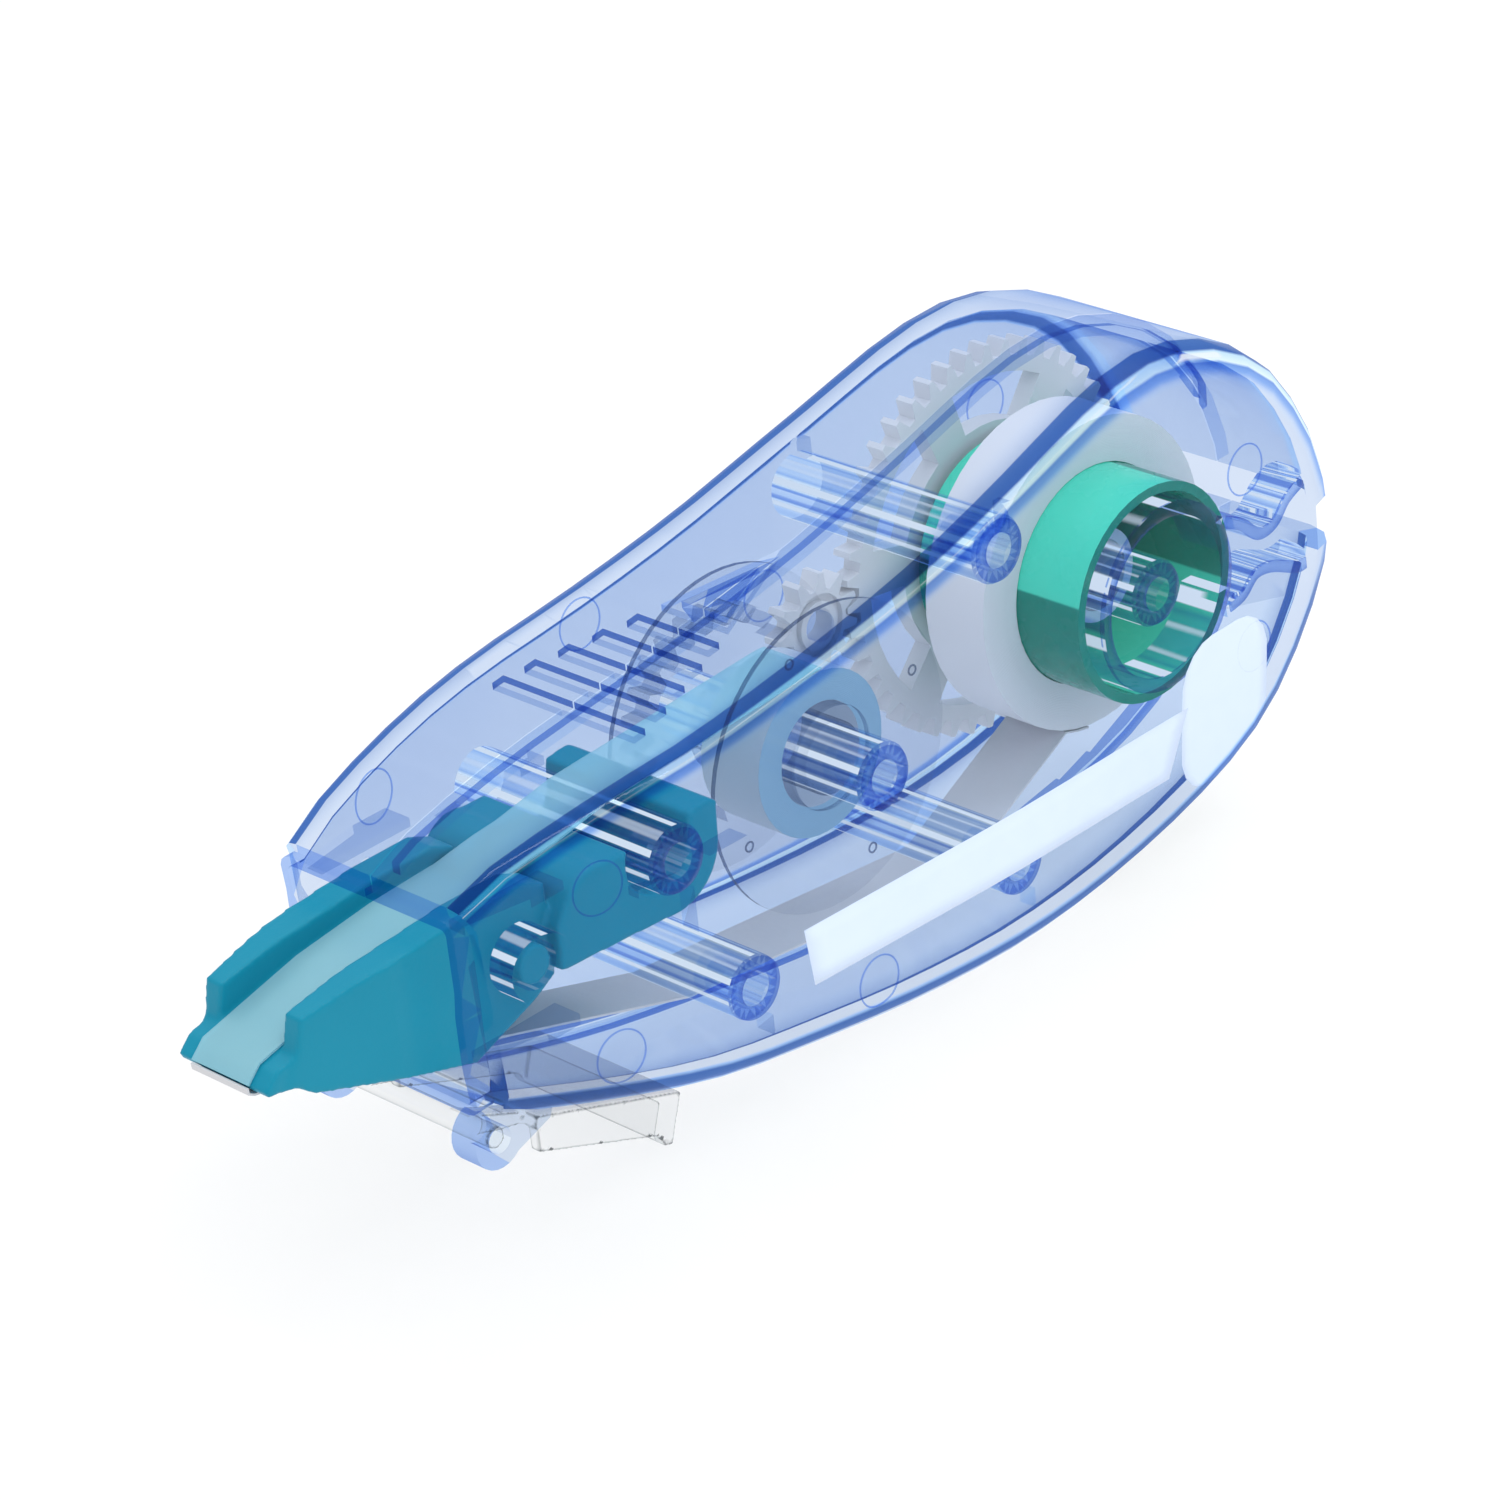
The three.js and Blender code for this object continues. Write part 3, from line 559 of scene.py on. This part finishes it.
def closed_mesh(name, points, faces):
    """Mesh with its faces pointing out."""
    mesh = bpy.data.meshes.new(name)
    mesh.from_pydata(points, [], faces)
    fix = bmesh.new()
    fix.from_mesh(mesh)
    bmesh.ops.recalc_face_normals(fix, faces=fix.faces)
    fix.to_mesh(mesh)
    fix.free()
    return mesh


def printed(name, rows, material, depth=0.012, thick=0.03):
    """Thin closed sheet just under the near shell's outer surface.

    rows are equally long lists of (x, z) points.
    """
    tree = shell_tree("left_shell")
    points = []
    for offset in (depth, depth + thick):
        for row in rows:
            points += [at(x, wall_y(tree, x, z, -1) + offset, z) for x, z in row]
    return new_piece(name, sheet_mesh(name, points, len(rows), len(rows[0])), material)


def lerp(a, b, t):
    return a + (b - a) * t


STRIPE_TOP = ((-31.0, -5.5), (-0.1, -6.4))
STRIPE_BOTTOM = ((-30.6, -8.9), (-2.1, -9.9))


def stripe_rows(count=5, wide=25):
    """Slanted band along the lower side of the near shell."""
    rows = []
    for i in range(count):
        t = i / (count - 1)
        start, end = ([lerp(a, b, t) for a, b in zip(top, bottom)]
                      for top, bottom in zip(STRIPE_TOP, STRIPE_BOTTOM))
        steps = [j / (wide - 1) for j in range(wide)]
        rows.append([(lerp(start[0], end[0], u), lerp(start[1], end[1], u)) for u in steps])
    return rows


def badge_rows(cx, cz, half_w, half_h, corner, lean, count=13, wide=11):
    """Leaning badge with rounded corners, from its bottom row to its top row."""
    rows = []
    for i in range(count):
        v = -half_h * math.cos(math.pi * i / (count - 1))
        over = max(abs(v) - (half_h - corner), 0.0)
        reach = half_w - corner + math.sqrt(max(corner ** 2 - over ** 2, 0.0004))
        middle = cx + lean * v
        rows.append([(middle + lerp(-reach, reach, j / (wide - 1)), cz + v)
                     for j in range(wide)])
    return rows


def print_white():
    r = Recipe("print_white")
    tone = r.mix(r.noise(800.0), (0.95, 0.96, 0.98), (0.90, 0.92, 0.96))
    # The print also gives off a little light of its own: a painted glow.
    shader = r.node("ShaderNodeBsdfPrincipled", {
        "Base Color": tone, "Roughness": 0.45, "Emission Color": (0.9, 0.95, 1.0),
        "Emission Strength": 0.25, "Normal": r.bump(r.noise(3000.0), 0.1, 1e-5)})
    return r.finish(shader.outputs[0])


white_print = print_white()
printed("print_stripe", stripe_rows(), white_print)
printed("print_badge", badge_rows(3.0, -7.4, 3.7, 4.4, 2.6, 0.1), white_print, depth=0.02)


def ejector_ring(name, node, side, x, z, radius=1.45, wire=0.05):
    """The faint ring an ejector pin leaves, lying in the shell's surface."""
    tree = shell_tree(node)
    around, across = 40, 6
    points, faces = [], []
    for i in range(around):
        a = 2 * math.pi * i / around
        for j in range(across):
            b = 2 * math.pi * j / across
            r = radius + wire * math.cos(b)
            px, pz = x + r * math.cos(a), z + r * math.sin(a)
            y = wall_y(tree, x + radius * math.cos(a), z + radius * math.sin(a), side)
            points.append(at(px, y - side * (wire + 0.01) + wire * math.sin(b), pz))
    for i in range(around):
        for j in range(across):
            k, n = (i + 1) % around, (j + 1) % across
            faces.append((i * across + j, k * across + j, k * across + n, i * across + n))
    mesh = bpy.data.meshes.new(name)
    mesh.from_pydata(points, [], faces)
    return new_piece(name, mesh, ring_blue)


def foot_ring(name, centre, inner, outer, y, material, thick=0.12):
    """Flat ring where a round wall or post meets the near shell."""
    around = 48
    angles = [2 * math.pi * i / around for i in range(around)]
    points, faces = [], []
    for level in (y, y + thick):
        for radius in (inner, outer):
            points += [at(centre[0] + radius * math.cos(angle), level,
                          centre[1] + radius * math.sin(angle)) for angle in angles]
    a, b, c, d = 0, around, 2 * around, 3 * around
    for i in range(around):
        k = (i + 1) % around
        faces += [(a + i, a + k, b + k, b + i), (c + i, d + i, d + k, c + k),
                  (b + i, b + k, d + k, d + i), (a + i, c + i, c + k, a + k)]
    return new_piece(name, closed_mesh(name, points, faces), material)


def channel_foot(name, line, y, half=0.35, thick=0.08):
    """Flat strip where a curved channel wall meets the near shell."""
    rows = [[], []]
    for i, (x, z) in enumerate(line):
        before, after = line[max(i - 1, 0)], line[min(i + 1, len(line) - 1)]
        along = Vector((after[0] - before[0], after[1] - before[1])).normalized()
        rows[0].append((x - along.y * half, z + along.x * half))
        rows[1].append((x + along.y * half, z - along.x * half))
    points = [at(x, level, z) for level in (y, y + thick) for row in rows for x, z in row]
    return new_piece(name, sheet_mesh(name, points, 2, len(line)), edge_blue)


def smooth_line(points, steps=6):
    """Points along a Catmull-Rom curve through the given ones."""
    line = []
    for i in range(len(points) - 1):
        near = (points[max(0, min(k, len(points) - 1))] for k in (i - 1, i, i + 1, i + 2))
        a, b, c, d = map(Vector, near)
        for j in range(steps):
            t = j / steps
            curve = (2 * b + (c - a) * t + (2 * a - 5 * b + 4 * c - d) * t * t
                     + (3 * b - a - 3 * c + d) * t ** 3)
            line.append(tuple(0.5 * curve))
    return line + [points[-1]]


# Depths along Y in mm, and (inner, outer) radii.
COLLAR_FOOT = (4.6, 5.4)
COLLAR_FOOT_Y = -7.42
POST_FOOT = (1.0, 1.75)
POST_FOOT_Y = -6.75        # just beyond the near ends of the posts
CHANNEL_FOOT_Y = -7.12
DIMPLE = (0.22, 0.32)
DIMPLE_Y = -2.93           # just in front of the clear flange
DIMPLE_REACH = 6.9         # from the take-up reel's axis
DIMPLE_START = 20          # degrees
CHANNEL_UPPER = [(5.4, 2.2), (6.8, 1.5), (8.1, 0.4), (9.5, 0.5), (10.6, 1.5), (12.0, 2.1)]
CHANNEL_LOWER = [(5.4, -2.95), (6.6, -2.7), (7.7, -1.9), (9.1, -2.0), (11.2, -2.9),
                 (12.0, -2.95)]

foot_ring("collar_foot", SUPPLY, *COLLAR_FOOT, COLLAR_FOOT_Y, edge_blue)
for number, centre in enumerate(POSTS[:6]):
    foot_ring(f"post_foot_{number + 1}", centre, *POST_FOOT, POST_FOOT_Y, edge_blue, 0.06)
channel_foot("channel_foot_upper", smooth_line(CHANNEL_UPPER), CHANNEL_FOOT_Y)
channel_foot("channel_foot_lower", smooth_line(CHANNEL_LOWER), CHANNEL_FOOT_Y)
for number in range(4):
    a = math.radians(DIMPLE_START + 90 * number)
    spot = (TAKEUP[0] + DIMPLE_REACH * math.cos(a), TAKEUP[1] + DIMPLE_REACH * math.sin(a))
    mark = foot_ring(f"flange_dimple_{number + 1}", spot, *DIMPLE, DIMPLE_Y, rim_grey, 0.05)
    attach(mark, "takeup_reel")

EJECTOR_LEFT = [(-43.5, 2.5), (-43.3, -7.2), (-26.0, -10.9), (5.8, -5.2), (5.9, 5.5)]
EJECTOR_RIGHT = [(-43.7, 2.7), (-27.6, 5.4), (3.4, 6.2), (-14.3, 1.5)]
for count, (x, z) in enumerate(EJECTOR_LEFT):
    ejector_ring(f"ejector_mark_left_{count + 1}", "left_shell", -1, x, z)
for count, (x, z) in enumerate(EJECTOR_RIGHT):
    ejector_ring(f"ejector_mark_right_{count + 1}", "right_shell", 1, x, z)


# ---- Stage, light and camera ------------------------------------------------
FLOOR_REACH = 3.0
FLOOR_GAP = 0.0004


def floor():
    """A pale floor, lit from within a little so that it clips to white."""
    mesh = bpy.data.meshes.new("floor")
    height = CAD_BOX[0][2] - FLOOR_GAP
    corners = [(x * FLOOR_REACH, y * FLOOR_REACH, height)
               for x, y in ((-1, -1), (1, -1), (1, 1), (-1, 1))]
    mesh.from_pydata(corners, [], [(0, 1, 2, 3)])
    obj = bpy.data.objects.new("floor", mesh)
    bpy.context.scene.collection.objects.link(obj)
    r = Recipe("floor_pale")
    tone = r.mix(r.noise(4.0), (0.36, 0.36, 0.362), (0.38, 0.38, 0.38))
    shader = r.node("ShaderNodeBsdfPrincipled", {
        "Base Color": tone, "Roughness": 0.9, "Specular IOR Level": 0.1,
        "Emission Color": (0.99, 0.995, 1.0), "Emission Strength": 0.6})
    mesh.materials.append(r.finish(shader.outputs[0]))


def area_light(name, place, to, size, power, mirrored=False):
    """A rectangular light in metres; glossy surfaces show it only if mirrored."""
    data = bpy.data.lights.new(name, "AREA")
    data.shape = "RECTANGLE"
    data.size, data.size_y = size
    data.energy = power
    obj = bpy.data.objects.new(name, data)
    obj.location = place
    obj.rotation_euler = (Vector(to) - Vector(place)).to_track_quat("-Z", "Y").to_euler()
    obj.visible_glossy = mirrored
    bpy.context.scene.collection.objects.link(obj)


# The room that glossy surfaces mirror: (height, 0 down to 1 up, colour).
ROOM = [(0.0, (0.40, 0.46, 0.60)), (0.50, (0.20, 0.28, 0.45)), (0.80, (0.25, 0.36, 0.6)),
        (0.90, (1.0, 1.0, 1.0)), (0.94, (1.0, 1.0, 1.0)), (0.97, (0.35, 0.5, 0.8))]


def world(strength, mirrored):
    """White studio all round; glossy surfaces mirror a darker room with a bright ceiling band."""
    made = bpy.data.worlds.new("studio")
    made.use_nodes = True
    tree = made.node_tree
    tree.nodes.clear()
    path = tree.nodes.new("ShaderNodeLightPath")
    coords = tree.nodes.new("ShaderNodeTexCoord")
    parts = tree.nodes.new("ShaderNodeSeparateXYZ")
    heights = tree.nodes.new("ShaderNodeValToRGB")
    white = tree.nodes.new("ShaderNodeBackground")
    room = tree.nodes.new("ShaderNodeBackground")
    mix = tree.nodes.new("ShaderNodeMixShader")
    out = tree.nodes.new("ShaderNodeOutputWorld")
    white.inputs[0].default_value = (1, 1, 1, 1)
    white.inputs[1].default_value = strength
    room.inputs[1].default_value = mirrored
    set_stops(heights, ROOM)
    half = tree.nodes.new("ShaderNodeMath")
    half.operation = "MULTIPLY_ADD"
    half.inputs[1].default_value = 0.5
    half.inputs[2].default_value = 0.5
    link = tree.links.new
    link(coords.outputs["Generated"], parts.inputs[0])
    link(parts.outputs[2], half.inputs[0])
    link(half.outputs[0], heights.inputs[0])
    link(heights.outputs[0], room.inputs[0])
    link(path.outputs["Is Glossy Ray"], mix.inputs[0])
    link(white.outputs[0], mix.inputs[1])
    link(room.outputs[0], mix.inputs[2])
    link(mix.outputs[0], out.inputs[0])
    bpy.context.scene.world = made


CAMERA_AT = (-195.77, -184.4, 131.42)     # mm from the supply reel axis
CAMERA_RIGHT = (0.6958, -0.712, -0.094)
CAMERA_VIEW = (0.6018, 0.6495, -0.4648)
LENS = 130.49


def camera():
    """The photograph's viewing angle."""
    data = bpy.data.cameras.new("camera")
    data.lens = LENS
    data.sensor_width = 36.0
    data.clip_start = 0.01
    obj = bpy.data.objects.new("camera", data)
    right = Vector(CAMERA_RIGHT).normalized()
    view = Vector(CAMERA_VIEW).normalized()
    up = right.cross(view).normalized()
    turn = Matrix((right, up, -view)).transposed().to_4x4()
    obj.matrix_world = Matrix.Translation(at(*CAMERA_AT)) @ turn
    bpy.context.scene.collection.objects.link(obj)
    bpy.context.scene.camera = obj


floor()
world(0.93, 1.6)
area_light("key", (-0.10, -0.35, 0.45), (0, 0, 0), (0.30, 0.30), 0.45)
area_light("strip_top", (0.05, -0.10, 0.50), (0, 0, 0), (0.03, 0.5), 0.5, mirrored=True)
area_light("rear", (0.30, 0.25, 0.40), (0, 0, 0), (0.30, 0.08), 0.4)
camera()
scene = bpy.context.scene
scene.view_settings.view_transform = "Standard"
scene.cycles.transparent_max_bounces = 40
scene.cycles.use_denoising = True
